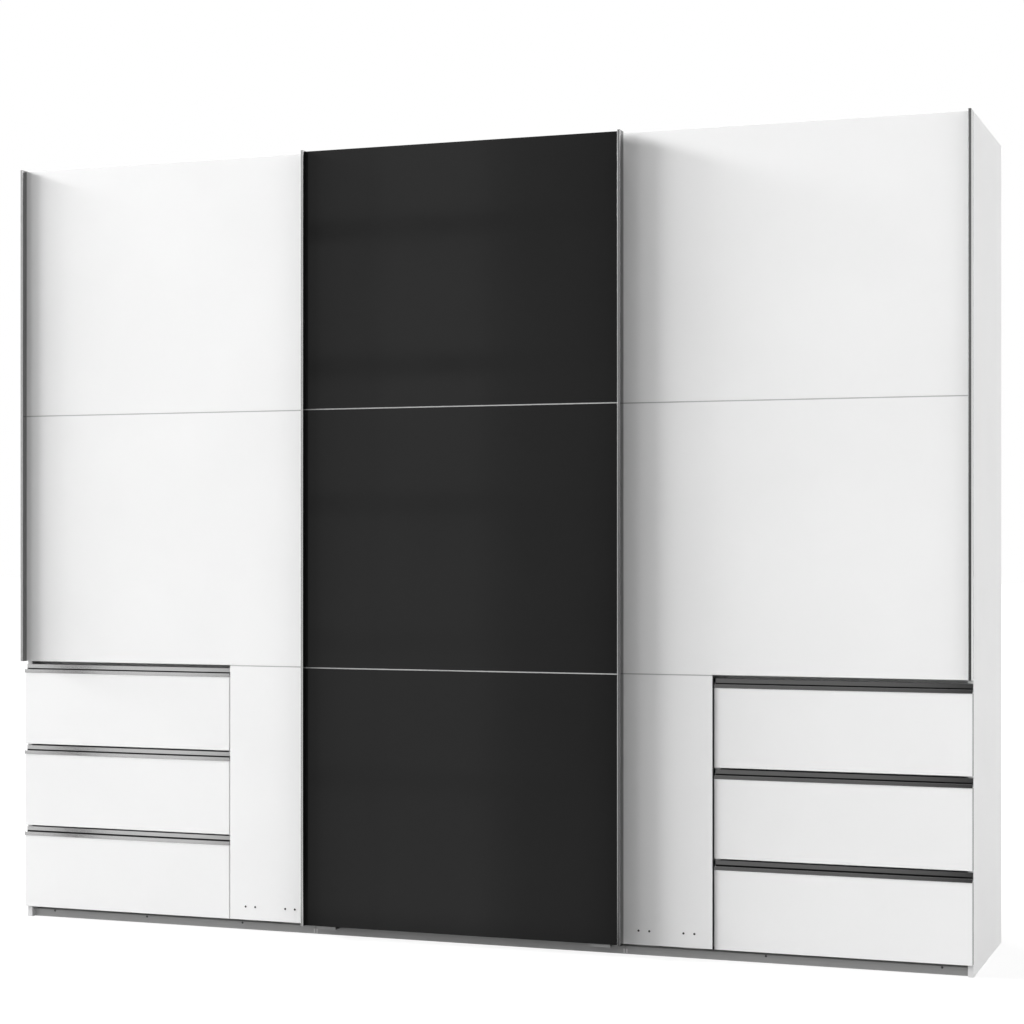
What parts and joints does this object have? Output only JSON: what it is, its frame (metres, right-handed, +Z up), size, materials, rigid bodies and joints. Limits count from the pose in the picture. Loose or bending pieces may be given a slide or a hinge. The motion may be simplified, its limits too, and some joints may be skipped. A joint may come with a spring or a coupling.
{
  "type": "sliding door wardrobe",
  "caption": "Wide wardrobe whose black glass centre door slides in front of white L-shaped outer doors, with outside drawers in the lower corners and metal grip strips.",
  "frame": {"origin": "on the floor under the middle of the whole wardrobe's box", "axes": "+X to the wardrobe's right seen from the front, +Y from the doors to the back, +Z up"},
  "size_m": [2.97, 0.64, 2.3625],
  "materials": {
    "white_board": "white melamine-faced board",
    "grey_board": "dark grey melamine-faced board",
    "black_glass": "back-lacquered black glass",
    "aluminium": "satin anodised extrusion",
    "dark_aluminium": "dark grey coated extrusion",
    "steel": "zinc-plated sheet",
    "chrome": "chromed tube",
    "grey_plastic": "moulded",
    "runner_plastic": "moulded",
    "rubber": "matt"
  },
  "bodies": {
    "carcass": {"back_panels": "white_board", "bottom_panels": "white_board", "clothes_rails": "chrome", "drawer_runners": "runner_plastic", "guide_rails": "dark_aluminium", "hat_shelves": "white_board", "left_drawer_partition": "white_board", "left_middle_shelf": "white_board", "left_partition": "white_board", "left_side": "white_board", "plinth_boards": "grey_board", "rail_sockets": "grey_plastic", "right_drawer_partition": "white_board", "right_middle_shelf": "white_board", "right_partition": "white_board", "right_side": "white_board", "top_panels": "white_board", "top_track": "aluminium", "track_stops": "rubber"},
    "left_door": {"left_door_bars": "aluminium", "left_door_grip": "aluminium", "left_door_guides": "grey_plastic", "left_door_hangers": "steel", "left_door_panels": "white_board"},
    "centre_door": {"centre_door_backboard": "grey_board", "centre_door_bars": "aluminium", "centre_door_grips": "aluminium", "centre_door_guides": "grey_plastic", "centre_door_hangers": "steel", "centre_door_panes": "black_glass"},
    "right_door": {"right_door_bars": "aluminium", "right_door_grip": "aluminium", "right_door_guides": "grey_plastic", "right_door_hangers": "steel", "right_door_panels": "white_board"},
    "left_roller_1": {"left_door_roller_1": "grey_plastic"},
    "left_roller_2": {"left_door_roller_2": "grey_plastic"},
    "centre_roller_1": {"centre_door_roller_1": "grey_plastic"},
    "centre_roller_2": {"centre_door_roller_2": "grey_plastic"},
    "right_roller_1": {"right_door_roller_1": "grey_plastic"},
    "right_roller_2": {"right_door_roller_2": "grey_plastic"},
    "left_drawer_1": {"left_drawer_1_box": "white_board", "left_drawer_1_front": "white_board", "left_drawer_1_handle": "aluminium"},
    "left_drawer_2": {"left_drawer_2_box": "white_board", "left_drawer_2_front": "white_board", "left_drawer_2_handle": "aluminium"},
    "left_drawer_3": {"left_drawer_3_box": "white_board", "left_drawer_3_front": "white_board", "left_drawer_3_handle": "aluminium"},
    "right_drawer_1": {"right_drawer_1_box": "white_board", "right_drawer_1_front": "white_board", "right_drawer_1_handle": "aluminium"},
    "right_drawer_2": {"right_drawer_2_box": "white_board", "right_drawer_2_front": "white_board", "right_drawer_2_handle": "aluminium"},
    "right_drawer_3": {"right_drawer_3_box": "white_board", "right_drawer_3_front": "white_board", "right_drawer_3_handle": "aluminium"}
  },
  "joints": [
    {"name": "left_door_slide", "type": "slide", "parent": "carcass", "child": "left_door", "axis": [1, 0, 0], "range_m": [0, 0.95]},
    {"name": "centre_door_slide", "type": "slide", "parent": "carcass", "child": "centre_door", "axis": [1, 0, 0], "range_m": [-0.95, 0.95]},
    {"name": "right_door_slide", "type": "slide", "parent": "carcass", "child": "right_door", "axis": [1, 0, 0], "range_m": [-0.95, 0]},
    {"name": "left_roller_1_spin", "type": "hinge", "parent": "left_door", "child": "left_roller_1", "pos_m": [-1.385, -0.23, 2.3188], "axis": [0, 1, 0], "continuous": true},
    {"name": "left_roller_2_spin", "type": "hinge", "parent": "left_door", "child": "left_roller_2", "pos_m": [-0.56, -0.23, 2.3188], "axis": [0, 1, 0], "continuous": true},
    {"name": "centre_roller_1_spin", "type": "hinge", "parent": "centre_door", "child": "centre_roller_1", "pos_m": [-0.4, -0.18, 2.3188], "axis": [0, 1, 0], "continuous": true},
    {"name": "centre_roller_2_spin", "type": "hinge", "parent": "centre_door", "child": "centre_roller_2", "pos_m": [0.4, -0.18, 2.3188], "axis": [0, 1, 0], "continuous": true},
    {"name": "right_roller_1_spin", "type": "hinge", "parent": "right_door", "child": "right_roller_1", "pos_m": [1.385, -0.23, 2.3188], "axis": [0, 1, 0], "continuous": true},
    {"name": "right_roller_2_spin", "type": "hinge", "parent": "right_door", "child": "right_roller_2", "pos_m": [0.56, -0.23, 2.3188], "axis": [0, 1, 0], "continuous": true},
    {"name": "left_drawer_1_slide", "type": "slide", "parent": "carcass", "child": "left_drawer_1", "axis": [0, -1, 0], "range_m": [0, 0.38]},
    {"name": "left_drawer_2_slide", "type": "slide", "parent": "carcass", "child": "left_drawer_2", "axis": [0, -1, 0], "range_m": [0, 0.38]},
    {"name": "left_drawer_3_slide", "type": "slide", "parent": "carcass", "child": "left_drawer_3", "axis": [0, -1, 0], "range_m": [0, 0.38]},
    {"name": "right_drawer_1_slide", "type": "slide", "parent": "carcass", "child": "right_drawer_1", "axis": [0, 1, 0], "range_m": [-0.38, 0]},
    {"name": "right_drawer_2_slide", "type": "slide", "parent": "carcass", "child": "right_drawer_2", "axis": [0, 1, 0], "range_m": [-0.38, 0]},
    {"name": "right_drawer_3_slide", "type": "slide", "parent": "carcass", "child": "right_drawer_3", "axis": [0, 1, 0], "range_m": [-0.38, 0]}
  ],
  "couplings": [
    {"joint": "left_roller_1_spin", "follows": "left_door_slide", "rad_per_m": 74.074},
    {"joint": "left_roller_2_spin", "follows": "left_door_slide", "rad_per_m": 74.074},
    {"joint": "centre_roller_1_spin", "follows": "centre_door_slide", "rad_per_m": 74.074},
    {"joint": "centre_roller_2_spin", "follows": "centre_door_slide", "rad_per_m": 74.074},
    {"joint": "right_roller_1_spin", "follows": "right_door_slide", "rad_per_m": 74.074},
    {"joint": "right_roller_2_spin", "follows": "right_door_slide", "rad_per_m": 74.074}
  ]
}
